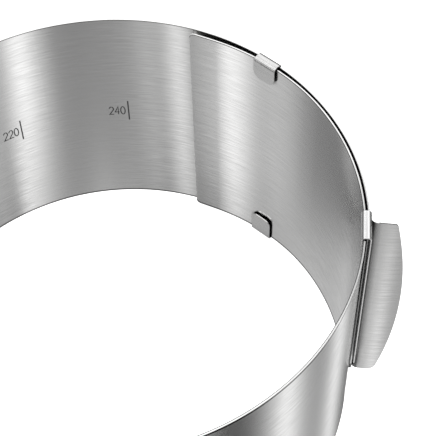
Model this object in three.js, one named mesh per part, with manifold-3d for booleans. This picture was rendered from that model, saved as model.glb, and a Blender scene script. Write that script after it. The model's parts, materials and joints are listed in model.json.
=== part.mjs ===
// Adjustable cake ring: one long band of spring steel rolled into an overlapping hoop. The outer end
// carries a welded grip, hooked over the top edge of both layers, and a guide strap further along is
// hooked over both edges. Sliding the inner layer through the hooks changes the diameter, which is read
// on the scale strokes at the inner end.
// Millimetres, +Z up. The band is laid out as short spans that turn on the band's own bending lines.
import * as THREE from 'three';
import { mergeVertices } from 'three/addons/utils/BufferGeometryUtils.js';
import Module from 'manifold-3d';

const wasm = await Module();
wasm.setup();

// Band
const BAND_HEIGHT = 150;
const BAND_SHEET = 0.8;
const BAND_LENGTH = 954;
const SPAN_COUNT = 36;
const SPAN_GAP = 0.3;
const OUTER_RADIUS = 127;
const LAYER_PITCH = 2.3;
const OUTER_END_ANGLE = -14.4;
const END_CORNER = 3;
const OUTER_FOOT_CORNER = 22;
const FREE_END_SET = 3;
const FREE_END_SPANS = 1;

// Diameter scale on the inner face: one stroke for each mark
const SCALE_WIDEST = 260;
const SCALE_NARROWEST = 160;
const SCALE_STEP = 20;
const SCALE_PLACE = 142.9;
const STROKE_WIDTH = 0.6;
const STROKE_HEIGHT = 16.5;
const STROKE_DEPTH = 0.15;

// Clearances
const WELD_GAP = 0.2;
const EDGE_GAP = 0.9;

// Guide strap
const GUIDE_SHEET = 0.6;
const GUIDE_WIDTH = 13.4;
const GUIDE_PLACE = 119.2;
const GUIDE_ROOM = 4;
const GUIDE_BEND = 1.9;
const GUIDE_TOP_TAB = 11;
const GUIDE_BOTTOM_TAB = 15;
const GUIDE_CORNER = 4;

// Grip with its hook
const GRIP_SHEET = 0.6;
const GRIP_WIDTH = 16;
const GRIP_PLACE = 1.5;
const GRIP_ROOM = 2.75;
const GRIP_BEND = 1.7;
const GRIP_TAB = 10;
const GRIP_TAB_CORNER = 1.5;
const STRIP_END = 31;
const STRIP_LEG = 3;
const PLATE_SET = 2.5;
const PLATE_BEND = 4;
const PLATE_REACH = 13.5;
const PLATE_BULGE = 7;
const PLATE_INSET = 4.5;
const PLATE_TOP_CORNER = 2;
const PLATE_FOOT_CORNER = 5;

// Smoothness
const SPAN_STEPS = 8;
const BEND_STEPS = 3;
const CORNER_STEPS = 7;
const EDGE_STEPS = 20;

// Heights shared by the band and what is hooked over it
const FOOT = GUIDE_SHEET + EDGE_GAP;
const BAND_TOP = FOOT + BAND_HEIGHT;
const SPAN_LENGTH = BAND_LENGTH / SPAN_COUNT;

const ACROSS = new THREE.Vector3(1, 0, 0);
const ALONG = new THREE.Vector3(0, 1, 0);
const UP = new THREE.Vector3(0, 0, 1);
// A profile drawn outward and up, pushed along the band
const PROFILE = new THREE.Matrix4().makeBasis(ACROSS, UP, ALONG.clone().negate());
// An outline drawn along the band and up, pushed outward
const OUTLINE = new THREE.Matrix4().makeBasis(ALONG, UP, ACROSS);

function steel(color, roughness) {
  return new THREE.MeshStandardMaterial({ color, roughness, metalness: 1 });
}

function toSolid(geometry) {
  const bare = geometry.clone();
  bare.deleteAttribute('normal');
  bare.deleteAttribute('uv');
  const merged = mergeVertices(bare);
  return new wasm.Manifold(new wasm.Mesh({
    numProp: 3,
    vertProperties: Float32Array.from(merged.attributes.position.array),
    triVerts: Uint32Array.from(merged.index.array),
  }));
}

function toGeometry(solid) {
  const mesh = solid.getMesh();
  const geometry = new THREE.BufferGeometry();
  geometry.setAttribute('position', new THREE.BufferAttribute(mesh.vertProperties, 3));
  geometry.setIndex(new THREE.BufferAttribute(mesh.triVerts, 1));
  geometry.computeVertexNormals();
  return geometry;
}

function push(shape, depth, curveSegments) {
  return new THREE.ExtrudeGeometry(shape, { depth, curveSegments, bevelEnabled: false });
}

// Place along the band's rolled line, a spiral that closes in by one layer pitch each turn
function bandAngle(distance) {
  const rate = LAYER_PITCH / (4 * Math.PI);
  const root = Math.sqrt(OUTER_RADIUS ** 2 - 4 * rate * distance);
  return (OUTER_RADIUS - root) / (2 * rate);
}

function bandPoint(distance) {
  const turned = bandAngle(distance);
  const radius = OUTER_RADIUS - LAYER_PITCH * turned / (2 * Math.PI);
  const angle = THREE.MathUtils.degToRad(OUTER_END_ANGLE) + turned;
  return { x: radius * Math.cos(angle), y: radius * Math.sin(angle), radius, angle };
}

// Flat sheet of even thickness round a centre line
function sheetShape(path, sheet) {
  const points = path.getPoints(BEND_STEPS);
  const left = [];
  const right = [];
  points.forEach((point, index) => {
    const before = points[Math.max(index - 1, 0)];
    const after = points[Math.min(index + 1, points.length - 1)];
    const into = point.clone().sub(before).normalize();
    const out = after.clone().sub(point).normalize();
    const way = into.add(out).normalize();
    const edge = index === 0 ? out : point.clone().sub(before).normalize();
    const reach = sheet / 2 / way.dot(edge);
    const side = new THREE.Vector2(-way.y, way.x).multiplyScalar(reach);
    left.push(point.clone().add(side));
    right.push(point.clone().sub(side));
  });
  return new THREE.Shape([...left, ...right.reverse()]);
}

// Rectangle with chosen corner radii, counted from the lower left corner anticlockwise
function roundedShape(x0, y0, x1, y1, radii) {
  const corners = [[x0, y0, 1, 1], [x1, y0, -1, 1], [x1, y1, -1, -1], [x0, y1, 1, -1]];
  const shape = new THREE.Shape();
  corners.forEach(([x, y, inX, inY], index) => {
    const radius = radii[index];
    const start = Math.PI * (1 + index / 2);
    if (radius > 0) {
      shape.absarc(x + inX * radius, y + inY * radius, radius, start, start + Math.PI / 2);
    } else if (index === 0) {
      shape.moveTo(x, y);
    } else {
      shape.lineTo(x, y);
    }
  });
  return shape;
}

// One span of the band, from its bending line at the origin along local X, curving towards local Y
function spanGeometry(length, radius) {
  const rise = Math.sqrt(radius ** 2 - (length / 2) ** 2);
  const half = Math.asin(length / 2 / radius) - SPAN_GAP / 2 / radius;
  const start = -Math.PI / 2 - half;
  const end = -Math.PI / 2 + half;
  const plan = new THREE.Shape();
  plan.absarc(length / 2, rise, radius + BAND_SHEET / 2, start, end, false);
  plan.absarc(length / 2, rise, radius - BAND_SHEET / 2, end, start, true);
  return push(plan, BAND_HEIGHT, SPAN_STEPS).translate(0, 0, FOOT);
}

// End span: both corners of one end are rounded, and the outer end's lower corner is cut well back
function endSpanGeometry(length, radius, atStart) {
  const corners = atStart ? [OUTER_FOOT_CORNER, 0, 0, END_CORNER] : [0, END_CORNER, END_CORNER, 0];
  const x0 = atStart ? SPAN_GAP / 2 : -length;
  const x1 = atStart ? 2 * length : length - SPAN_GAP / 2;
  const outline = roundedShape(x0, FOOT, x1, BAND_TOP, corners);
  const blank = push(outline, 2 * length, CORNER_STEPS).applyMatrix4(PROFILE).translate(0, length, 0);
  return toGeometry(toSolid(spanGeometry(length, radius)).intersect(toSolid(blank)));
}

// Distances of the scale marks from the outer end: a smaller diameter lies further along by its own
// change of circumference
function scalePlaces() {
  const places = [];
  for (let diameter = SCALE_WIDEST; diameter >= SCALE_NARROWEST; diameter -= SCALE_STEP) {
    places.push(SCALE_PLACE + Math.PI * (SCALE_WIDEST - diameter));
  }
  return places;
}

// Cuts one stroke of the scale into the inner face of a span
function cutStroke(geometry, length, radius, along) {
  const rise = Math.sqrt(radius ** 2 - (length / 2) ** 2);
  const angle = -Math.PI / 2 + (along - length / 2) / radius;
  const face = radius - BAND_SHEET / 2;
  const x = length / 2 + face * Math.cos(angle);
  const y = rise + face * Math.sin(angle);
  const stroke = new THREE.BoxGeometry(2 * STROKE_DEPTH, STROKE_WIDTH, STROKE_HEIGHT);
  stroke.rotateZ(angle).translate(x, y, FOOT + BAND_HEIGHT / 2);
  return toGeometry(toSolid(geometry).subtract(toSolid(stroke)));
}

function buildBand() {
  const band = new THREE.Group();
  const marks = scalePlaces();
  const hinges = Array.from({ length: SPAN_COUNT + 1 }, (unused, index) => bandPoint(index * SPAN_LENGTH));
  let set = 0;
  let place = new THREE.Vector2(hinges[0].x, hinges[0].y);
  for (let index = 0; index < SPAN_COUNT; index += 1) {
    const from = hinges[index];
    const to = hinges[index + 1];
    const chord = new THREE.Vector2(to.x - from.x, to.y - from.y);
    if (index >= SPAN_COUNT - FREE_END_SPANS) set += THREE.MathUtils.degToRad(FREE_END_SET);
    const radius = (from.radius + to.radius) / 2;
    const first = index === 0;
    const last = index === SPAN_COUNT - 1;
    const plain = first || last
      ? endSpanGeometry(chord.length(), radius, first)
      : spanGeometry(chord.length(), radius);
    const start = index * SPAN_LENGTH;
    const geometry = marks
      .filter((mark) => mark > start && mark < start + SPAN_LENGTH)
      .reduce((cut, mark) => cutStroke(cut, chord.length(), radius, mark - start), plain);
    const span = new THREE.Mesh(geometry, steel(0xb9bbbc, 0.3));
    span.name = `band_${String(index + 1).padStart(2, '0')}`;
    span.position.set(place.x, place.y, 0);
    span.rotation.z = chord.angle() + set;
    band.add(span);
    place = place.clone().add(chord.rotateAround(new THREE.Vector2(), set));
  }
  return band;
}

// Hook folded over one edge of both layers: outer leg, fold and inner tab with rounded corners.
// side is 1 at the top edge and -1 at the bottom edge.
function hookSolid({ sheet, width, room, bend, tab, corner, leg }, side) {
  const edge = side > 0 ? BAND_TOP : FOOT;
  const crest = edge + side * (EDGE_GAP + sheet / 2);
  const outer = BAND_SHEET / 2 + WELD_GAP + sheet / 2;
  const inner = -(BAND_SHEET / 2 + room + sheet / 2);
  const turn = crest - side * bend;
  const tabRoot = turn - side * bend;
  const fold = new THREE.Path();
  fold.moveTo(inner, tabRoot);
  fold.absarc(inner + bend, turn, bend, Math.PI, side * Math.PI / 2, side > 0);
  fold.absarc(outer - bend, turn, bend, side * Math.PI / 2, 0, side > 0);
  fold.lineTo(outer, leg);
  const folded = push(sheetShape(fold, sheet), width, BEND_STEPS).applyMatrix4(PROFILE);
  folded.translate(0, width / 2, 0);
  const tip = turn - side * tab;
  const corners = side > 0 ? [corner, corner, 0, 0] : [0, 0, corner, corner];
  const low = Math.min(tip, turn);
  const high = Math.max(tip, turn);
  const outline = roundedShape(-width / 2, low, width / 2, high, corners);
  const flap = push(outline, sheet, CORNER_STEPS).applyMatrix4(OUTLINE).translate(inner - sheet / 2, 0, 0);
  return toSolid(folded).add(toSolid(flap));
}

function buildGuide() {
  const middle = FOOT + BAND_HEIGHT / 2;
  const common = { sheet: GUIDE_SHEET, width: GUIDE_WIDTH, room: GUIDE_ROOM, bend: GUIDE_BEND };
  const top = { ...common, tab: GUIDE_TOP_TAB, corner: GUIDE_CORNER, leg: middle - GUIDE_SHEET };
  const bottom = { ...common, tab: GUIDE_BOTTOM_TAB, corner: GUIDE_CORNER, leg: middle + GUIDE_SHEET };
  const guide = new THREE.Mesh(
    toGeometry(hookSolid(top, 1).add(hookSolid(bottom, -1))),
    steel(0xa9abac, 0.32),
  );
  guide.name = 'guide_strap';
  return guide;
}

// Grip plate: it lands on the strip's far edge, and a bend carries the sheet out into the plate, whose
// outer edge is bowed
function plateSolid() {
  const low = FOOT + PLATE_INSET;
  const high = BAND_TOP - PLATE_INSET;
  const strip = BAND_SHEET / 2 + WELD_GAP + GRIP_SHEET / 2;
  const seat = strip + GRIP_SHEET / 2;
  const reach = seat + PLATE_REACH + PLATE_BULGE;
  const place = GRIP_WIDTH / 2 - PLATE_SET;
  const turn = Math.acos(1 - PLATE_SET / PLATE_BEND);
  const centreX = seat + PLATE_BEND * Math.sin(turn);
  const plan = new THREE.Path();
  plan.absarc(centreX, place + PLATE_BEND, PLATE_BEND, 1.5 * Math.PI - turn, 1.5 * Math.PI, false);
  plan.lineTo(reach, place);
  const bent = push(sheetShape(plan, GRIP_SHEET), high - low, BEND_STEPS).translate(0, 0, low);

  const edge = strip + PLATE_REACH;
  const foot = low + PLATE_FOOT_CORNER;
  const head = high - PLATE_TOP_CORNER;
  const centre = (foot + head) / 2;
  const lean = 4 * PLATE_BULGE / (head - foot);
  const footCorner = edge - PLATE_FOOT_CORNER * lean;
  const topCorner = edge - PLATE_TOP_CORNER * lean;
  const outline = new THREE.Shape();
  outline.moveTo(-GRIP_WIDTH, low);
  outline.lineTo(footCorner - PLATE_FOOT_CORNER, low);
  outline.quadraticCurveTo(footCorner, low, edge, foot);
  outline.quadraticCurveTo(edge + 2 * PLATE_BULGE, centre, edge, head);
  outline.quadraticCurveTo(topCorner, high, topCorner - PLATE_TOP_CORNER, high);
  outline.lineTo(-GRIP_WIDTH, high);
  const blank = push(outline, 2 * GRIP_WIDTH, EDGE_STEPS).applyMatrix4(PROFILE);
  blank.translate(0, GRIP_WIDTH, 0);
  return toSolid(bent).intersect(toSolid(blank));
}

// The strip carries the upper hook and stops above the foot, where a narrow leg goes on beside the plate
function buildGrip() {
  const hook = hookSolid({
    sheet: GRIP_SHEET,
    width: GRIP_WIDTH,
    room: GRIP_ROOM,
    bend: GRIP_BEND,
    tab: GRIP_TAB,
    corner: GRIP_TAB_CORNER,
    leg: STRIP_END,
  }, 1);
  const low = FOOT + PLATE_INSET;
  const high = STRIP_END + GRIP_SHEET;
  const leg = new THREE.BoxGeometry(GRIP_SHEET, STRIP_LEG, high - low);
  leg.translate(BAND_SHEET / 2 + WELD_GAP + GRIP_SHEET / 2, (GRIP_WIDTH - STRIP_LEG) / 2, (low + high) / 2);
  const grip = new THREE.Mesh(
    toGeometry(plateSolid().add(hook).add(toSolid(leg))),
    steel(0xa9abac, 0.32),
  );
  grip.name = 'grip_handle';
  return grip;
}

// Sets a piece on the outer layer at a distance from the outer end, local X pointing outward
function seatOnBand(piece, distance) {
  const seat = bandPoint(distance);
  piece.position.set(seat.x, seat.y, 0);
  piece.rotation.z = seat.angle;
  return piece;
}

const ring = new THREE.Group();
ring.add(buildBand());
ring.add(seatOnBand(buildGuide(), GUIDE_PLACE));
ring.add(seatOnBand(buildGrip(), GRIP_PLACE));

// The middle of the footprint stands at the origin
const middle = new THREE.Box3().setFromObject(ring, true).getCenter(new THREE.Vector3());
ring.position.set(-middle.x, -middle.y, 0);

const cakeRing = new THREE.Group();
cakeRing.add(ring);
cakeRing.updateMatrixWorld(true);

export default cakeRing;
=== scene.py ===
import json
import math

import bpy
import numpy as np
from mathutils import Matrix, Vector


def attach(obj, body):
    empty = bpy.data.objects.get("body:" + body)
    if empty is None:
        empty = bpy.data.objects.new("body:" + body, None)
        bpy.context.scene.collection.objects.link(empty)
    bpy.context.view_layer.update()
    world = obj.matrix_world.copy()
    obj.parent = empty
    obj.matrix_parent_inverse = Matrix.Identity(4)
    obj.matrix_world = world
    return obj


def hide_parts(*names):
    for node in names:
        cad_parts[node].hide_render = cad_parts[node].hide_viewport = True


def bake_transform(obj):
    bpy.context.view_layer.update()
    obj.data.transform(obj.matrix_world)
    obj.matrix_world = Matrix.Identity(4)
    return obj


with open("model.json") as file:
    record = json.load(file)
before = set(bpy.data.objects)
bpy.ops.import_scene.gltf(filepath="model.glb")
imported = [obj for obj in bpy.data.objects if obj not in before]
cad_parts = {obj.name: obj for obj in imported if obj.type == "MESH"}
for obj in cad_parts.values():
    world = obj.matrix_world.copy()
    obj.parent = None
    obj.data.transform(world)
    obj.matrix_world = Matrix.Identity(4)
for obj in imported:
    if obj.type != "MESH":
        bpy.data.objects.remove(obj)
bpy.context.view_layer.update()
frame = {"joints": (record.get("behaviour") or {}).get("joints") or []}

MM = 0.001
TINY = 1e-6

# Band, as the solids have it (millimetres and degrees)
BAND_HEIGHT = 150.0
BAND_SHEET = 0.8
BAND_LENGTH = 954.0
SPANS = 36
SPAN = BAND_LENGTH / SPANS
FIRST_FLEX = 2
OUTER_RADIUS = 127.0
LAYER_PITCH = 2.3
OUTER_END_ANGLE = -14.4
END_CORNER = 3.0
OUTER_FOOT_CORNER = 22.0
FOOT = 1.5
BAND_TOP = FOOT + BAND_HEIGHT

# The free end stands a little off the outer layer, and is flatter at its tip
FREE_END_SLOPE = 0.03
FREE_END_FROM = 880.0
FREE_END_EASE = 20.0
FREE_END_CURL = -5.0
FREE_END_CURLED = 15.0

# The band springs out before it slips under the outer end: places along it, and shares of the bulge
NEAR_BULGE = 0.25
SPRING_PLACES = (690, 730, 775, 870, 900)
SPRING_SHARES = (0, 0.4, 1, 1, 0)

# Sheared edges of the band: rounding, and a slight burr
EDGE_ROUND = 0.1
RIM_PROUD = 0.16
RIM_DEPTH = 0.25

# Painted shade: dark lines along these edges, where the rounded rims and the crease under the burr fall in
# shade; shares of the lines' reach from the rim's middle, and the level there
EDGE_SHADE_REACH = 3.0
CORNER_SHADE_LINE = ((0.07, 1.0), (0.083, 0.08), (0.205, 0.08), (0.23, 1.0))
BURR_SHADE_LINE = ((0.165, 1.0), (0.18, 0.1), (0.78, 0.14), (0.93, 1.0))
FOOT_SHADE_LINE = ((0.165, 1.0), (0.18, 0.12), (0.44, 0.2), (0.64, 1.0))

# Mesh steps of the band
TABLE_STEP = 0.25
STRIP_STEPS = 24
CORNER_STEPS = 3
STATION_GAP = 0.3
LEAST_END = 0.02
QUARTER_STATIONS = 9
QUARTER_TURN = np.linspace(0, math.pi / 2, QUARTER_STATIONS)

# Sheet of the grip and of the guide strap, and their hooks over the band's edges
EDGE_GAP = 0.9
WELD_GAP = 0.2
SHEET = 0.6
SHEET_ROUND = 0.14
ROUND_STEPS = 2
SHARP_ANGLE = 40.0
FOLD_STEPS = 8
OUTER_FACE = BAND_SHEET / 2 + WELD_GAP + SHEET / 2
GUIDE = {
    "place": 119.2, "width": 13.4, "room": 4.0, "bend": 1.9,
    "top_tab": 11.0, "bottom_tab": 15.0, "corner": 4.0,
}
GRIP = {"place": 1.5, "width": 16.0, "room": 2.75, "bend": 1.7, "top_tab": 10.0, "corner": 1.5}

# Strips of both: the grip's ends above the foot, where a narrow leg goes on beside the plate
STRIP_END = 31.0
STRIP_CORNER = 5.0
STRIP_LEG = 3.0
STRIP_MARGIN = 6.0
STRIP_EASE = 1.0
LEG_EASE = 12.0
STRIP_COLUMNS = 13
GUIDE_ROWS = 13
GRIP_ROWS = 9

# Grip plate
PLATE_SET = 2.5
PLATE_BEND = 4.0
PLATE_TILT = 7.0
PLATE_ARCH = 60.0
PLATE_REACH = 13.5
PLATE_BULGE = 7.0
PLATE_INSET = 4.5
PLATE_TOP_CORNER = 2.0
PLATE_FOOT_CORNER = 5.0
PLATE_ROWS = 41
PLATE_COLUMNS = 13
PLATE_TOP_STEPS = 6
PLATE_FOOT_STEPS = 8

# Engraved scale: the mark 240 lies at a known place, and a millimetre of diameter is pi along the band
KNOWN_MARK = 240
KNOWN_MARK_PLACE = 205.7
SCALE_MARKS = (260, 240, 220, 200, 180, 160)
TICK_HEIGHT = 16.5
TICK_MIDDLE = 76.0
TICK_STROKE = 0.75
DIGIT_HEIGHT = 6.5
DIGIT_WIDTH = 2.5
DIGIT_STEP = 3.3
DIGIT_GAP = 2.0
DIGIT_STROKE = 0.62
MITRE_LEAST = 0.35
MARK_PROUD = 0.02
MARK_DEPTH = 0.1

# Brushed steel: scale along and across, place and detail of each noise, and their shares
FINE_STREAKS = (100.0, 1900.0, 3.1, 2.0)
BROAD_STREAKS = (42.0, 700.0, 7.7, 3.0)
CLOUDS = (9.0, 14.0, 1.3, 2.0)
STREAK_SKEW = 0.37
STREAK_GRAIN = 0.6
BROAD_SHARE = 0.9
CLOUD_SHARE = 0.25
STREAK_RANGE = (0.55, 1.55)
GLOSS_SPREAD = 0.06
BRUSH_GLOSS = 0.4
BRUSH_TURN = 0.25
BRUSH_BUMP = 0.05
BRUSH_DEPTH = 0.02
STEEL_TINT = (1.0, 0.998, 0.992)
CREVICE_SHADE_SAMPLES = 8

# Etched marks: grain, and the shares and colours between which it varies
ETCH_METAL = 0.2
ETCH_ROUGH = 0.6
ETCH_GRAIN = 2500.0
ETCH_DETAIL = 2.0
ETCH_SHADES = ((0.3, (0.015, 0.015, 0.016, 1)), (0.7, (0.06, 0.06, 0.062, 1)))

# Material slots of the bent sheets, and the colour sockets of a mix node
EDGE_SLOT = 1
PLATE_EDGE_SHADE_SLOT = 2
MIX_UNDER = 6
MIX_OVER = 7
MIX_RESULT = 2

# Floor
FLOOR_REACH = 6.0
FLOOR_GREY = 0.9
FLOOR_ROUGH = 0.9

# Studio: radiance by azimuth in degrees, up to the full light. The far wall mirrors the first, and the
# near wall and the grip mirror the second, further down.
FULL_LIGHT = 2.0
STUDIO_SEAM = 60.0
STUDIO = (
    (60, 0.1), (90, 0.2), (110, 0.2), (126, 0.2), (140, 0.23), (152, 0.27), (164, 0.44),
    (176, 0.62), (190, 0.66), (202, 1.25), (206, 1.1), (210, 0.75), (215, 0.07), (220, 0.6),
    (226, 1.0), (233, 0.55), (240, 0.56), (247, 0.42), (254, 0.35), (264, 0.3), (274, 0.3),
    (281, 0.42), (288, 0.9), (295, 1.34), (302, 0.55), (318, 0.58), (340, 0.25), (0, 0.1),
)
STUDIO_LOW = (
    (60, 0.17), (90, 0.3), (106, 0.62), (120, 0.6), (136, 0.62), (150, 0.66), (162, 0.54),
    (180, 0.3), (236, 0.06), (250, 0.5), (258, 0.7), (266, 1.05), (275, 0.65), (284, 0.45),
    (296, 0.5), (312, 0.12), (332, 0.2), (342, 0.6), (351, 1.25), (2, 0.6), (12, 0.38),
    (21, 0.42), (27, 0.7), (33, 1.2), (40, 0.7), (47, 0.3), (53, 0.17),
)
LOW_FROM = -0.8
LOW_TO = -0.84
# The light strip that the left wall mirrors leans over towards its foot
STRIP_AT = 296.0
STRIP_HALF = 32.0
STRIP_LEAN = 14.0
STRIP_LEAN_FROM = -0.735
STRIP_LEAN_TO = -0.815
# Light above the horizon: start and end of each change in height, and the level from there on
ABOVE = ((0.15, 0.3, 0.45), (0.52, 0.66, 1.5), (0.79, 0.81, 0.45), (0.84, 0.86, 1.4))

# Camera, placed from the middle of the ring and the foot of the band
CAMERA_BACK = 2.87576 * OUTER_RADIUS
CAMERA_UP = 5.14102 * OUTER_RADIUS
CAMERA_YAW = 0.15299
CAMERA_PITCH = 0.95368
CAMERA_ROLL = 0.02461
CAMERA_FOCAL = 1307.55
SENSOR = 36.0
IMAGE = 436


def spiral(distance):
    """Point of the rolled line, from the ring's middle, and the angle of its radius."""
    rate = LAYER_PITCH / (4 * math.pi)
    turned = (OUTER_RADIUS - np.sqrt(OUTER_RADIUS ** 2 - 4 * rate * distance)) / (2 * rate)
    radius = OUTER_RADIUS - LAYER_PITCH * turned / (2 * math.pi)
    angle = math.radians(OUTER_END_ANGLE) + turned
    return np.stack([radius * np.cos(angle), radius * np.sin(angle)], -1), angle


first_hinge = next(joint for joint in frame["joints"] if joint["name"] == "ring_closing")
hinge_point, _ = spiral(np.array([(FIRST_FLEX - 1) * SPAN]))
CENTRE = np.array(first_hinge["pos_m"][:2]) / MM - hinge_point[0]


def band_line():
    """Fine table of the whole band line: distances, points from the ring's middle, and directions."""
    s = np.arange(0, BAND_LENGTH + TABLE_STEP / 2, TABLE_STEP)
    xy, angle = spiral(s)
    freed = np.clip(s - FREE_END_FROM, 0, None)
    curled = np.clip(s - BAND_LENGTH + FREE_END_CURLED, 0, None)
    stand_off = FREE_END_SLOPE * freed ** 2 / (np.abs(s - FREE_END_FROM) + FREE_END_EASE)
    stand_off += math.radians(FREE_END_CURL) / (2 * FREE_END_CURLED) * curled ** 2
    spring = NEAR_BULGE * np.interp(s, SPRING_PLACES, SPRING_SHARES)
    xy = xy + (spring - stand_off)[:, None] * np.stack([np.cos(angle), np.sin(angle)], -1)
    return s, xy, np.unwrap(np.arctan2(np.gradient(xy[:, 1]), np.gradient(xy[:, 0])))


table_s, table_xy, table_way = band_line()


def band_point(s):
    """Point of the band line at a distance along it, and the direction of the line there."""
    x = np.interp(s, table_s, table_xy[:, 0])
    y = np.interp(s, table_s, table_xy[:, 1])
    way = np.interp(s, table_s, table_way)
    return np.array([x + CENTRE[0], y + CENTRE[1]]), way


def on_band(s, outward, z):
    """Row-frame point in metres and the outward direction at a place on the band."""
    xy, way = band_point(s)
    out = np.array([math.sin(way), -math.cos(way)])
    spot = xy + out * outward
    return Vector((spot[0] * MM, spot[1] * MM, z * MM)), Vector((out[0], out[1], 0))


def flex_of(s):
    """Number of the flex line whose strip covers a distance along the band."""
    return int(np.clip(math.floor(s / SPAN + 0.5) + 1, FIRST_FLEX, SPANS))


def bend_with_band(piece):
    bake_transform(piece)


def new_object(name, mesh, material):
    piece = bpy.data.objects.new(name, mesh)
    bpy.context.scene.collection.objects.link(piece)
    mesh.materials.append(material)
    return piece


def band_profile(half, low, high):
    """Section of the sheet, with a slight burr along both edges: outward offset, height, and the two parts
    of the normal."""
    rim = half + RIM_PROUD
    ring = []
    corners = ((1, low, -1, -90), (1, high, 1, 0), (-1, high, 1, 90), (-1, low, -1, 180))
    for side, edge, up, start in corners:
        out, level = side * (rim - EDGE_ROUND), edge - up * EDGE_ROUND
        corner = []
        for k in range(CORNER_STEPS + 1):
            a = math.radians(start + 90 * k / CORNER_STEPS)
            x, z = math.cos(a), math.sin(a)
            corner.append((out + EDGE_ROUND * x, level + EDGE_ROUND * z, x, z))
        burr = [
            (side * rim, edge - up * RIM_DEPTH, side, 0),
            (side * half, edge - 2 * up * RIM_DEPTH, side, 0),
        ]
        ring += burr[::-1] + corner if side == up else corner + burr
    return ring


def section_length(profile):
    return sum(math.dist(a[:2], b[:2]) for a, b in zip(profile, profile[1:] + profile[:1]))


def node(tree, kind, **settings):
    made = tree.nodes.new(kind)
    for key, value in settings.items():
        setattr(made, key, value)
    return made


def feed(tree, value, socket):
    """Gives a socket another node's output, a plain number or a grey level."""
    if isinstance(value, bpy.types.NodeSocket):
        tree.links.new(value, socket)
    elif socket.type == "RGBA":
        socket.default_value = (value, value, value, 1)
    else:
        socket.default_value = value


def calc(tree, operation, *values):
    made = node(tree, "ShaderNodeMath", operation=operation)
    for value, socket in zip(values, made.inputs):
        feed(tree, value, socket)
    return made.outputs[0]


def mix_colours(tree, share, under, over, blend="MIX"):
    mix = node(tree, "ShaderNodeMix", data_type="RGBA", blend_type=blend)
    feed(tree, share, mix.inputs["Factor"])
    feed(tree, under, mix.inputs[MIX_UNDER])
    feed(tree, over, mix.inputs[MIX_OVER])
    return mix.outputs[MIX_RESULT]


def map_range(tree, value, before, after, kind="LINEAR"):
    made = node(tree, "ShaderNodeMapRange", interpolation_type=kind)
    for socket, level in zip(("From Min", "From Max", "To Min", "To Max"), before + after):
        made.inputs[socket].default_value = level
    tree.links.new(value, made.inputs["Value"])
    return made.outputs["Result"]


def smooth_share(tree, value, start, end):
    return map_range(tree, value, (start, end), (0.0, 1.0), "SMOOTHSTEP")


def grey_ramp(tree, value, stops, kind):
    """Grey along a value from 0 to 1, by stops of position and level; the outermost lie at its ends."""
    ramp = node(tree, "ShaderNodeValToRGB")
    ramp.color_ramp.interpolation = kind
    elements = ramp.color_ramp.elements
    elements[0].position, elements[1].position = 0.0, 1.0
    ends = [elements[0], elements[1]]
    for element, (_, level) in zip(ends, (stops[0], stops[-1])):
        element.color = (level, level, level, 1)
    for position, level in stops[1:-1]:
        elements.new(position).color = (level, level, level, 1)
    tree.links.new(value, ramp.inputs["Fac"])
    return ramp.outputs["Color"]


def dark_by_edges(tree, uv, colour):
    """Painted shade: thin dark lines along the sheared edges, on the corner inside the rim, under the burr
    outside the rim and over the burr inside the foot. V is counted round the section, from the outer edge
    of the foot."""
    split = node(tree, "ShaderNodeSeparateXYZ")
    tree.links.new(uv, split.inputs["Vector"])
    whole = section_length(band_profile(BAND_SHEET / 2, FOOT, BAND_TOP))
    flat = BAND_SHEET / 2 + RIM_PROUD - EDGE_ROUND
    lines = ((whole / 2, 1, CORNER_SHADE_LINE), (whole / 2, -1, BURR_SHADE_LINE), (whole, -1, FOOT_SHADE_LINE))
    for middle, way, levels in lines:
        distance = calc(tree, "MULTIPLY_ADD", split.outputs["Y"], way, way * (flat - middle) * MM)
        share = calc(tree, "DIVIDE", distance, EDGE_SHADE_REACH * MM)
        line = grey_ramp(tree, share, ((0.0, 1.0),) + levels + ((1.0, 1.0),), "LINEAR")
        colour = mix_colours(tree, 1.0, colour, line, "MULTIPLY")
    return colour


def streaks(tree, uv, seed, along, across, offset, detail):
    place = node(tree, "ShaderNodeMapping")
    place.inputs["Location"].default_value = (offset, offset * STREAK_SKEW, seed)
    place.inputs["Scale"].default_value = (along, across, 1.0)
    tree.links.new(uv, place.inputs["Vector"])
    noise = node(tree, "ShaderNodeTexNoise", noise_dimensions="3D")
    noise.inputs["Scale"].default_value = 1.0
    noise.inputs["Detail"].default_value = detail
    noise.inputs["Roughness"].default_value = STREAK_GRAIN
    tree.links.new(place.outputs["Vector"], noise.inputs["Vector"])
    return noise.outputs["Fac"]


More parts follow.
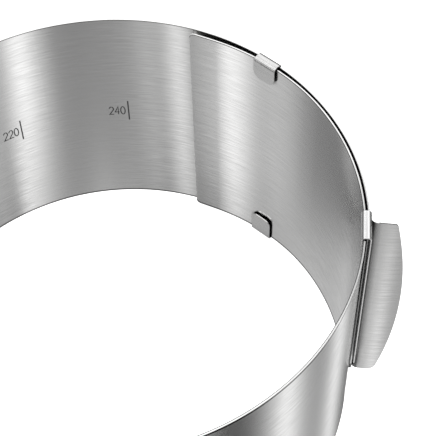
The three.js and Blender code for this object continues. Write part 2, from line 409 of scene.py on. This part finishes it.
def brushed_steel(name, tone, rough, streak, seed, crevice_shade_reach=4.0, crevice_shade_depth=0.0, edge_shade=False):
    """Brushed stainless sheet: streaks run along U, so the gloss spreads along V."""
    material = bpy.data.materials.new(name)
    material.use_nodes = True
    tree = material.node_tree
    shader = tree.nodes["Principled BSDF"]
    shader.inputs["Metallic"].default_value = 1.0
    shader.inputs["Anisotropic"].default_value = BRUSH_GLOSS
    shader.inputs["Anisotropic Rotation"].default_value = BRUSH_TURN
    tangent = node(tree, "ShaderNodeTangent", direction_type="UV_MAP", uv_map="UVMap")
    tree.links.new(tangent.outputs["Tangent"], shader.inputs["Tangent"])
    uv = node(tree, "ShaderNodeUVMap", uv_map="UVMap").outputs["UV"]

    fine, broad, cloud = (streaks(tree, uv, seed, *kind) for kind in (FINE_STREAKS, BROAD_STREAKS, CLOUDS))
    brushed = calc(tree, "MULTIPLY_ADD", broad, BROAD_SHARE, fine)
    clouded = calc(tree, "MULTIPLY_ADD", cloud, CLOUD_SHARE, brushed)

    level = map_range(tree, clouded, STREAK_RANGE, (tone - streak, tone + streak))
    grey = node(tree, "ShaderNodeCombineColor")
    for channel, share in zip(("Red", "Green", "Blue"), STEEL_TINT):
        tree.links.new(calc(tree, "MULTIPLY", level, share), grey.inputs[channel])
    colour = grey.outputs["Color"]
    if edge_shade:
        colour = dark_by_edges(tree, uv, colour)
    # Painted shade: ambient occlusion darkens the colour in crevices and between parts within the reach,
    # and the depth darkens it once more
    if crevice_shade_reach > 0:
        crevice_shade = node(tree, "ShaderNodeAmbientOcclusion", samples=CREVICE_SHADE_SAMPLES)
        crevice_shade.inputs["Distance"].default_value = crevice_shade_reach * MM
        tree.links.new(colour, crevice_shade.inputs["Color"])
        colour = mix_colours(tree, crevice_shade_depth, crevice_shade.outputs["Color"], crevice_shade.outputs["AO"], "MULTIPLY")
    tree.links.new(colour, shader.inputs["Base Color"])

    dull = map_range(tree, clouded, STREAK_RANGE, (rough + GLOSS_SPREAD, rough - GLOSS_SPREAD))
    tree.links.new(dull, shader.inputs["Roughness"])

    bump = node(tree, "ShaderNodeBump")
    bump.inputs["Strength"].default_value = BRUSH_BUMP
    bump.inputs["Distance"].default_value = BRUSH_DEPTH * MM
    tree.links.new(brushed, bump.inputs["Height"])
    tree.links.new(bump.outputs["Normal"], shader.inputs["Normal"])
    return material


def etched_mark(name):
    """Dark, matt and slightly grainy etch."""
    material = bpy.data.materials.new(name)
    material.use_nodes = True
    tree = material.node_tree
    shader = tree.nodes["Principled BSDF"]
    shader.inputs["Metallic"].default_value = ETCH_METAL
    shader.inputs["Roughness"].default_value = ETCH_ROUGH
    place = node(tree, "ShaderNodeTexCoord")
    noise = node(tree, "ShaderNodeTexNoise")
    noise.inputs["Scale"].default_value = ETCH_GRAIN
    noise.inputs["Detail"].default_value = ETCH_DETAIL
    tree.links.new(place.outputs["Object"], noise.inputs["Vector"])
    shade = node(tree, "ShaderNodeValToRGB")
    for element, (position, colour) in zip(shade.color_ramp.elements, ETCH_SHADES):
        element.position = position
        element.color = colour
    tree.links.new(noise.outputs["Fac"], shade.inputs["Fac"])
    tree.links.new(shade.outputs["Color"], shader.inputs["Base Color"])
    return material


mark_etch = etched_mark("scale_etch")
band_steel = brushed_steel(
    "band_brushed", 0.78, 0.17, 0.12, 0.0, crevice_shade_reach=2.0, crevice_shade_depth=0.7, edge_shade=True)
# Painted light and shade: the grip's steel is given a lighter tone and the guide's a darker one than the
# band's, for how each is lit; the grip's wide crevice shade darkens the plate's root
grip_steel = brushed_steel("grip_brushed", 0.84, 0.22, 0.1, 4.0, crevice_shade_reach=6.0, crevice_shade_depth=1.0)
guide_steel = brushed_steel("guide_brushed", 0.66, 0.24, 0.07, 9.0)
# Painted highlight: the sheets' cut edges get a near white tone, standing in for the bright lines they
# catch
edge_highlight_steel = brushed_steel("sheet_edge_highlight", 0.95, 0.3, 0.02, 2.0, crevice_shade_reach=0.0)
# Painted shade: the grip plate's cut edge gets a near black tone, standing in for the dark it mirrors
plate_edge_shade_steel = brushed_steel("plate_edge", 0.12, 0.3, 0.02, 2.0, crevice_shade_reach=0.0)


def corner_drop(distance, corner):
    """How far a rounded corner falls short of its edge, at a distance from its end."""
    if distance >= corner:
        return 0.0
    return corner - math.sqrt(corner ** 2 - (corner - distance) ** 2)


def corner_stations(corner):
    stations = [corner * (1 - math.cos(a)) for a in QUARTER_TURN]
    return [s for s in stations if s > 1.5 * EDGE_ROUND]


def strip_stations(flex):
    """Places along the band of a strip's sections, closer together at the band's rounded ends."""
    start = 0.0 if flex == FIRST_FLEX else (flex - 1.5) * SPAN
    end = BAND_LENGTH if flex == SPANS else (flex - 0.5) * SPAN
    count = max(STRIP_STEPS, round((end - start) / SPAN * STRIP_STEPS))
    stations = list(np.linspace(start, end, count + 1))
    if flex == FIRST_FLEX:
        turn = sorted(corner_stations(END_CORNER) + corner_stations(OUTER_FOOT_CORNER))
        beyond = [s for s in stations if s > OUTER_FOOT_CORNER + STATION_GAP]
        stations = [0.0, EDGE_ROUND] + turn + beyond
    if flex == SPANS:
        turn = [end - t for t in reversed(corner_stations(END_CORNER))]
        before = [s for s in stations if s < end - END_CORNER - STATION_GAP]
        stations = before + turn + [end - EDGE_ROUND, end]
    return stations


def strip_section(s):
    """Section of the band at a place along it, as points and normals, drawn in at the band's ends."""
    ends = max(min(s, BAND_LENGTH - s), LEAST_END)
    inset = EDGE_ROUND if ends < EDGE_ROUND / 2 else 0.0
    low = FOOT + corner_drop(ends, OUTER_FOOT_CORNER if s < SPAN else END_CORNER) + inset
    high = BAND_TOP - corner_drop(ends, END_CORNER) - inset
    section = []
    for outward, z, along, up in band_profile(BAND_SHEET / 2 - inset, low, high):
        spot, out = on_band(s, outward, z)
        section.append((spot, out * along + Vector((0, 0, up))))
    return section


def band_strip(flex):
    """One strip of the band, which spans one flex line."""
    stations = strip_stations(flex)
    rings = [strip_section(s) for s in stations]
    size = len(rings[0])
    last = len(rings) - 1
    whole = rings[0 if flex == SPANS else last]
    lengths = [0.0]
    for j in range(size):
        lengths.append(lengths[-1] + (whole[(j + 1) % size][0] - whole[j][0]).length)
    faces, normals, uvs = [], [], []
    for i in range(last):
        for j in range(size):
            k = (j + 1) % size
            corners = ((i, j, j), (i + 1, j, j), (i + 1, k, j + 1), (i, k, j + 1))
            faces.append([a * size + b for a, b, _ in corners])
            normals += [rings[a][b][1] for a, b, _ in corners]
            uvs += [(stations[a] * MM, lengths[v]) for a, _, v in corners]
    for i, sign, order in ((0, -1, range(size)), (last, 1, range(size - 1, -1, -1))):
        _, way = band_point(stations[i])
        faces.append([i * size + j for j in order])
        normals += [Vector((sign * math.cos(way), sign * math.sin(way), 0))] * size
        uvs += [(rings[i][j][0].z, lengths[j]) for j in order]
    mesh = bpy.data.meshes.new(f"band_strip_{flex:02d}")
    mesh.from_pydata([spot for ring in rings for spot, _ in ring], [], faces)
    mesh.polygons.foreach_set("use_smooth", [True] * len(faces))
    layer = mesh.uv_layers.new(name="UVMap")
    layer.data.foreach_set("uv", [c for pair in uvs for c in pair])
    mesh.normals_split_custom_set([tuple(n) for n in normals])
    mesh.update()
    piece = new_object(mesh.name, mesh, band_steel)
    spans = [SPANS - 1, SPANS] if flex == SPANS else [flex - 1]
    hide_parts(*[f"band_{n:02d}" for n in spans])
    bend_with_band(piece)


for flex in range(FIRST_FLEX, SPANS + 1):
    band_strip(flex)


def arc(cx, cy, rx, ry, start, end, count):
    angles = np.radians(np.linspace(start, end, count))
    return [(cx + rx * math.cos(a), cy + ry * math.sin(a)) for a in angles]


# Strokes of the digits, in a box of width and height 1
DIGITS = {
    "0": [arc(0.5, 0.5, 0.5, 0.5, 90, 450, 33)],
    "1": [[(0.15, 0.78), (0.55, 1.0), (0.55, 0.0)]],
    "2": [arc(0.5, 0.71, 0.47, 0.29, 165, -25, 17) + [(0.0, 0.0), (1.0, 0.0)]],
    "4": [[(0.76, 0.0), (0.76, 1.0), (0.0, 0.3), (1.0, 0.3)]],
    "6": [
        arc(0.5, 0.31, 0.48, 0.31, 90, 450, 29),
        [(0.03, 0.36), (0.1, 0.62), (0.35, 0.88), (0.8, 1.0)],
    ],
    "8": [arc(0.5, 0.27, 0.5, 0.27, 90, 450, 29), arc(0.5, 0.77, 0.42, 0.23, 90, 450, 25)],
}


def ribbon(points, width):
    """Left and right edges of a stroke of even width along a line of points."""
    pts = np.array(points, float)
    closed = np.allclose(pts[0], pts[-1])
    edges = []
    for i, p in enumerate(pts):
        ways = []
        if i > 0 or closed:
            ways.append(p - pts[i - 1 if i > 0 else -2])
        if i + 1 < len(pts) or closed:
            ways.append(pts[i + 1 if i + 1 < len(pts) else 1] - p)
        ways = [w / np.linalg.norm(w) for w in ways]
        way = sum(ways) / np.linalg.norm(sum(ways))
        side = np.array([-way[1], way[0]])
        reach = width / 2 / max(side @ np.array([-ways[0][1], ways[0][0]]), MITRE_LEAST)
        edges.append((p + side * reach, p - side * reach))
    return edges


def add_stroke(store, points, width, s0, z0):
    """A stroke drawn from the left edge s0 (larger s is further left) and the foot z0, let into the inner
    face."""
    verts, faces = store
    edges = ribbon(points, width)
    base = len(verts)
    for left, right in edges:
        for x, y in (left, right):
            for outward in (-BAND_SHEET / 2 - MARK_PROUD, -BAND_SHEET / 2 + MARK_DEPTH):
                verts.append(on_band(s0 - x, outward, z0 + y)[0])
    for i in range(len(edges) - 1):
        a, b = base + 4 * i, base + 4 * (i + 1)
        faces += [(a, a + 2, b + 2, b), (a + 1, b + 1, b + 3, a + 3)]
        faces += [(a, b, b + 1, a + 1), (a + 2, a + 3, b + 3, b + 2)]
    last = base + 4 * (len(edges) - 1)
    faces += [(base, base + 1, base + 3, base + 2), (last, last + 2, last + 3, last + 1)]


def scale_mark(value):
    """A tick and its number, each digit on the flex line whose strip it lies on."""
    tick = KNOWN_MARK_PLACE + (KNOWN_MARK - value) * math.pi
    word = str(value)
    stores = {}
    store = stores.setdefault(flex_of(tick), ([], []))
    tick_foot = FOOT + TICK_MIDDLE - TICK_HEIGHT / 2
    add_stroke(store, [(0.0, 0.0), (0.0, TICK_HEIGHT)], TICK_STROKE, tick, tick_foot)
    for index, digit in enumerate(word):
        left = tick + DIGIT_GAP + DIGIT_WIDTH + (len(word) - 1 - index) * DIGIT_STEP
        store = stores.setdefault(flex_of(left - DIGIT_WIDTH / 2), ([], []))
        for line in DIGITS[digit]:
            scaled = [(x * DIGIT_WIDTH, y * DIGIT_HEIGHT) for x, y in line]
            add_stroke(store, scaled, DIGIT_STROKE, left, FOOT + TICK_MIDDLE - DIGIT_HEIGHT / 2)
    for flex, (verts, faces) in stores.items():
        mesh = bpy.data.meshes.new(f"scale_{value}_{flex:02d}")
        mesh.from_pydata(verts, [], faces)
        mesh.update()
        piece = new_object(mesh.name, mesh, mark_etch)
        bend_with_band(piece)


for value in SCALE_MARKS:
    scale_mark(value)


def fold_line(hook, side, tab):
    """Line of a strip from its tab's tip over the band's edge to the outside, as outward and height,
    and the tip's height."""
    inner = -(BAND_SHEET / 2 + hook["room"] + SHEET / 2)
    bend = hook["bend"]
    crest = (BAND_TOP if side > 0 else FOOT) + side * (EDGE_GAP + SHEET / 2)
    turn = crest - side * bend
    tip = turn - side * tab
    rises = [hook["corner"] * (1 - math.cos(a)) for a in QUARTER_TURN]
    rises.append((hook["corner"] + tab) / 2)
    line = [(inner, tip + side * rise) for rise in rises]
    for middle, start in ((inner + bend, math.pi), (OUTER_FACE - bend, math.pi / 2)):
        for a in np.linspace(start, start - math.pi / 2, FOLD_STEPS + 1):
            line.append((middle + bend * math.cos(a), turn + side * bend * math.sin(a)))
    return line, tip


def tab_share(x, z, tip, corner, reach, limit):
    """Share of the full half width at a station, less than one only on the rounded tip."""
    if x > limit:
        return 1.0
    return 1 - corner_drop(abs(z - tip), corner) / reach


def strip_near_edge(z, half):
    """Near edge of the grip's strip, which stops above the foot, but for a narrow leg beside the plate."""
    leg = half - STRIP_LEG
    if z < STRIP_END:
        return leg
    return min(-half + corner_drop(z - STRIP_END, STRIP_CORNER), leg)


def strip_heights(with_plate):
    """Heights of a strip's rows down the outside of the band."""
    head = BAND_TOP - STRIP_MARGIN
    if not with_plate:
        return list(np.linspace(head, FOOT + STRIP_MARGIN, GUIDE_ROWS))
    heights = list(np.linspace(head, STRIP_END + STRIP_CORNER + STRIP_EASE, GRIP_ROWS))
    heights += [STRIP_END + STRIP_CORNER * (1 - math.sin(a)) for a in QUARTER_TURN]
    return heights + [STRIP_END - STRIP_EASE, STRIP_END - LEG_EASE, FOOT + PLATE_INSET]


def strip_rows(hook, with_plate):
    """The strip as rows: over the top edge, down outside, and on the guide under the lower edge too."""
    top, top_tip = fold_line(hook, 1, hook["top_tab"])
    bottom, bottom_tip = [], 0.0
    if not with_plate:
        bottom, bottom_tip = fold_line(hook, -1, hook["bottom_tab"])
    line = top + [(OUTER_FACE, z) for z in strip_heights(with_plate)] + bottom[::-1]
    half = hook["width"] / 2
    limit = top[0][0] + TINY
    rows, travel = [], 0.0
    for r, (x, z) in enumerate(line):
        if r > 0:
            travel += math.dist(line[r], line[r - 1])
        near = strip_near_edge(z, half) if with_plate and r >= len(top) else -half
        reach, middle = (half - near) / 2, (half + near) / 2
        tip = top_tip if r < len(top) else bottom_tip
        share = tab_share(x, z, tip, hook["corner"], reach, limit)
        row = []
        for y in np.linspace(-1, 1, STRIP_COLUMNS):
            row.append(((x, middle + y * reach * share, z), middle + y * reach, travel))
        rows.append(row)
    return rows


def plate_edge(z, low, high):
    """Reach of the grip plate's bowed outer edge at a height."""
    edge = OUTER_FACE + PLATE_REACH
    foot, head = low + PLATE_FOOT_CORNER, high - PLATE_TOP_CORNER
    lean = 4 * PLATE_BULGE / (head - foot)
    for d, size in ((z - low, PLATE_FOOT_CORNER), (high - z, PLATE_TOP_CORNER)):
        if d < size:
            corner = edge - size * lean
            t = math.sqrt(max(d, 0) / size)
            return (1 - t) ** 2 * (corner - size) + 2 * t * (1 - t) * corner + t * t * edge
    t = (z - foot) / (head - foot)
    return edge + 4 * PLATE_BULGE * t * (1 - t)


def plate_line(half):
    """Plan of the grip plate from where it lands on the strip's far edge: the bend as points, then the arch
    of the plate as a centre."""
    landing = math.acos(1 - PLATE_SET / PLATE_BEND)
    seat = OUTER_FACE + SHEET / 2
    turn = np.array([seat + PLATE_BEND * math.sin(landing), half - PLATE_SET + PLATE_BEND])
    points = []
    last = 1.5 * math.pi - math.radians(PLATE_TILT)
    for a in np.linspace(1.5 * math.pi - landing, last, 2 * FOLD_STEPS + 1):
        points.append((turn[0] + PLATE_BEND * math.cos(a), turn[1] + PLATE_BEND * math.sin(a)))
    return points, turn + (PLATE_BEND - PLATE_ARCH) * np.array([math.cos(last), math.sin(last)])


def plate_heights(low, high):
    """Heights of the plate's rows from its head to its foot, closer together at the corners."""
    heights = []
    for k in range(PLATE_TOP_STEPS + 1):
        heights.append(high - PLATE_TOP_CORNER * (k / PLATE_TOP_STEPS) ** 2)
    heights += list(np.linspace(high - PLATE_TOP_CORNER, low + PLATE_FOOT_CORNER, PLATE_ROWS)[1:-1])
    for k in range(PLATE_FOOT_STEPS, -1, -1):
        heights.append(low + PLATE_FOOT_CORNER * (k / PLATE_FOOT_STEPS) ** 2)
    return heights


def plate_rows(half):
    low, high = FOOT + PLATE_INSET, BAND_TOP - PLATE_INSET
    start, middle = plate_line(half)
    rows = []
    for z in plate_heights(low, high):
        plan = list(start)
        for x in np.linspace(start[-1][0], plate_edge(z, low, high), PLATE_COLUMNS)[1:]:
            plan.append((x, middle[1] - math.sqrt(PLATE_ARCH ** 2 - (x - middle[0]) ** 2)))
        lengths = np.cumsum([0.0] + [math.dist(a, b) for a, b in zip(plan, plan[1:])])
        rows.append([((x, y, z), u, high - z) for (x, y), u in zip(plan, lengths)])
    return rows


def add_grid(store, rows):
    """Adds a sheet laid out as rows of (point, u, v), all of one length."""
    verts, uvs, faces = store
    base, size = len(verts), len(rows[0])
    for row in rows:
        verts += [spot for spot, _, _ in row]
        uvs += [(u * MM, v * MM) for _, u, v in row]
    for r in range(len(rows) - 1):
        for c in range(size - 1):
            a = base + r * size + c
            faces.append((a, a + 1, a + size + 1, a + size))


def sheet_place(hook):
    """From a hook's own frame, with X outward from the band line, to the row's frame."""
    seat, turn = spiral(np.array([hook["place"]]))
    x, y = (seat[0] + CENTRE) * MM
    return Matrix.Translation((x, y, 0)) @ Matrix.Rotation(float(turn[0]), 4, "Z") @ Matrix.Scale(MM, 4)


# Painted shade: the plate's cut edges beyond the bend take the near black edge material
def darken_plate_edge(mesh, place):
    mesh.materials.append(plate_edge_shade_steel)
    unplaced = place.inverted()
    for face in mesh.polygons:
        if face.material_index == EDGE_SLOT and (unplaced @ face.center).x > OUTER_FACE + PLATE_BEND:
            face.material_index = PLATE_EDGE_SHADE_SLOT


def bent_sheet(name, hook, with_plate, material):
    """A hook's strip, with the grip plate or without, as a sheet of even thickness with softened edges."""
    store = ([], [], [])
    add_grid(store, strip_rows(hook, with_plate))
    if with_plate:
        add_grid(store, plate_rows(hook["width"] / 2))
    verts, uvs, faces = store
    place = sheet_place(hook)
    mesh = bpy.data.meshes.new(name)
    mesh.from_pydata([place @ Vector(v) for v in verts], [], faces)
    layer = mesh.uv_layers.new(name="UVMap")
    for loop in mesh.loops:
        layer.data[loop.index].uv = uvs[loop.vertex_index]
    mesh.polygons.foreach_set("use_smooth", [True] * len(mesh.polygons))
    piece = new_object(name, mesh, material)
    mesh.materials.append(edge_highlight_steel)
    thick = piece.modifiers.new("sheet", "SOLIDIFY")
    thick.thickness = SHEET * MM
    thick.offset = 0.0
    thick.use_even_offset = True
    thick.material_offset_rim = EDGE_SLOT
    soft = piece.modifiers.new("edges", "BEVEL")
    soft.width = SHEET_ROUND * MM
    soft.segments = ROUND_STEPS
    soft.limit_method = "ANGLE"
    soft.angle_limit = math.radians(SHARP_ANGLE)
    soft.harden_normals = True
    bpy.context.view_layer.update()
    shaped = piece.evaluated_get(bpy.context.evaluated_depsgraph_get())
    final = bpy.data.meshes.new_from_object(shaped)
    piece.modifiers.clear()
    piece.data = final
    final.name = name
    if with_plate:
        darken_plate_edge(final, place)
    return piece


grip = bent_sheet("grip_sheet", GRIP, True, grip_steel)
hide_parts("grip_handle")
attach(grip, "handle_end")
guide = bent_sheet("guide_sheet", GUIDE, False, guide_steel)
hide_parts("guide_strap")
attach(guide, "span_05")


def studio_floor():
    mesh = bpy.data.meshes.new("floor")
    sides = ((-1, -1), (1, -1), (1, 1), (-1, 1))
    mesh.from_pydata([(x * FLOOR_REACH, y * FLOOR_REACH, 0) for x, y in sides], [], [(0, 1, 2, 3)])
    material = bpy.data.materials.new("floor_white")
    material.use_nodes = True
    shader = material.node_tree.nodes["Principled BSDF"]
    shader.inputs["Base Color"].default_value = (FLOOR_GREY, FLOOR_GREY, FLOOR_GREY, 1)
    shader.inputs["Roughness"].default_value = FLOOR_ROUGH
    shader.inputs["Emission Color"].default_value = (1, 1, 1, 1)
    shader.inputs["Emission Strength"].default_value = 1.0
    floor = new_object("floor", mesh, material)
    floor.visible_glossy = False


def azimuth_light(tree, azimuth, levels):
    """Light by azimuth, counted as a share of a full turn from the seam."""
    stops = sorted((((az - STUDIO_SEAM) % 360) / 360, level / FULL_LIGHT) for az, level in levels)
    return grey_ramp(tree, azimuth, stops + [(1.0, stops[0][1])], "CARDINAL")


def without_lean(tree, azimuth, height):
    """Azimuth with the light strip's lean taken off: all of it at the strip, none further away."""
    away = calc(tree, "ABSOLUTE", calc(tree, "SUBTRACT", azimuth, (STRIP_AT - STUDIO_SEAM) / 360))
    near = smooth_share(tree, away, STRIP_HALF / 360, 0.0)
    low = smooth_share(tree, height, STRIP_LEAN_FROM, STRIP_LEAN_TO)
    lean = calc(tree, "MULTIPLY", near, low)
    return calc(tree, "MULTIPLY_ADD", lean, -STRIP_LEAN / 360, azimuth)


def studio_world():
    """Soft light by azimuth below the horizon and by height above it; the camera sees plain white."""
    world = bpy.data.worlds.new("studio")
    bpy.context.scene.world = world
    world.use_nodes = True
    tree = world.node_tree
    shade = tree.nodes["Background"]
    shade.inputs["Strength"].default_value = FULL_LIGHT
    place = node(tree, "ShaderNodeTexCoord")
    split = node(tree, "ShaderNodeSeparateXYZ")
    tree.links.new(place.outputs["Generated"], split.inputs["Vector"])
    height = split.outputs["Z"]
    turn = calc(tree, "ARCTAN2", split.outputs["Y"], split.outputs["X"])
    share = calc(tree, "MULTIPLY_ADD", turn, 1 / (2 * math.pi), 1 - STUDIO_SEAM / 360)
    azimuth = calc(tree, "FRACT", share)
    light = azimuth_light(tree, without_lean(tree, azimuth, height), STUDIO)
    low = azimuth_light(tree, azimuth, STUDIO_LOW)
    light = mix_colours(tree, smooth_share(tree, height, LOW_FROM, LOW_TO), light, low)
    for start, end, level in ABOVE:
        light = mix_colours(tree, smooth_share(tree, height, start, end), light, level / FULL_LIGHT)
    seen = node(tree, "ShaderNodeLightPath")
    light = mix_colours(tree, seen.outputs["Is Camera Ray"], light, 1 / FULL_LIGHT)
    tree.links.new(light, shade.inputs["Color"])


def studio_camera():
    lens = bpy.data.cameras.new("camera")
    camera = bpy.data.objects.new("camera", lens)
    bpy.context.scene.collection.objects.link(camera)
    lens.sensor_fit = "HORIZONTAL"
    lens.sensor_width = SENSOR
    lens.lens = CAMERA_FOCAL / IMAGE * lens.sensor_width
    flat = math.cos(CAMERA_PITCH)
    forward = Vector((math.sin(CAMERA_YAW) * flat, math.cos(CAMERA_YAW) * flat, -math.sin(CAMERA_PITCH)))
    level = Vector((math.cos(CAMERA_YAW), -math.sin(CAMERA_YAW), 0))
    down = forward.cross(level)
    right = math.cos(CAMERA_ROLL) * level + math.sin(CAMERA_ROLL) * down
    below = -math.sin(CAMERA_ROLL) * level + math.cos(CAMERA_ROLL) * down
    turned = Matrix((right, -below, -forward)).transposed().to_4x4()
    spot = Vector((CENTRE[0], CENTRE[1] - CAMERA_BACK, FOOT + CAMERA_UP)) * MM
    camera.matrix_world = Matrix.Translation(spot) @ turned
    bpy.context.scene.camera = camera


studio_floor()
studio_world()
studio_camera()
bpy.context.scene.view_settings.view_transform = "Standard"

bpy.context.view_layer.update()
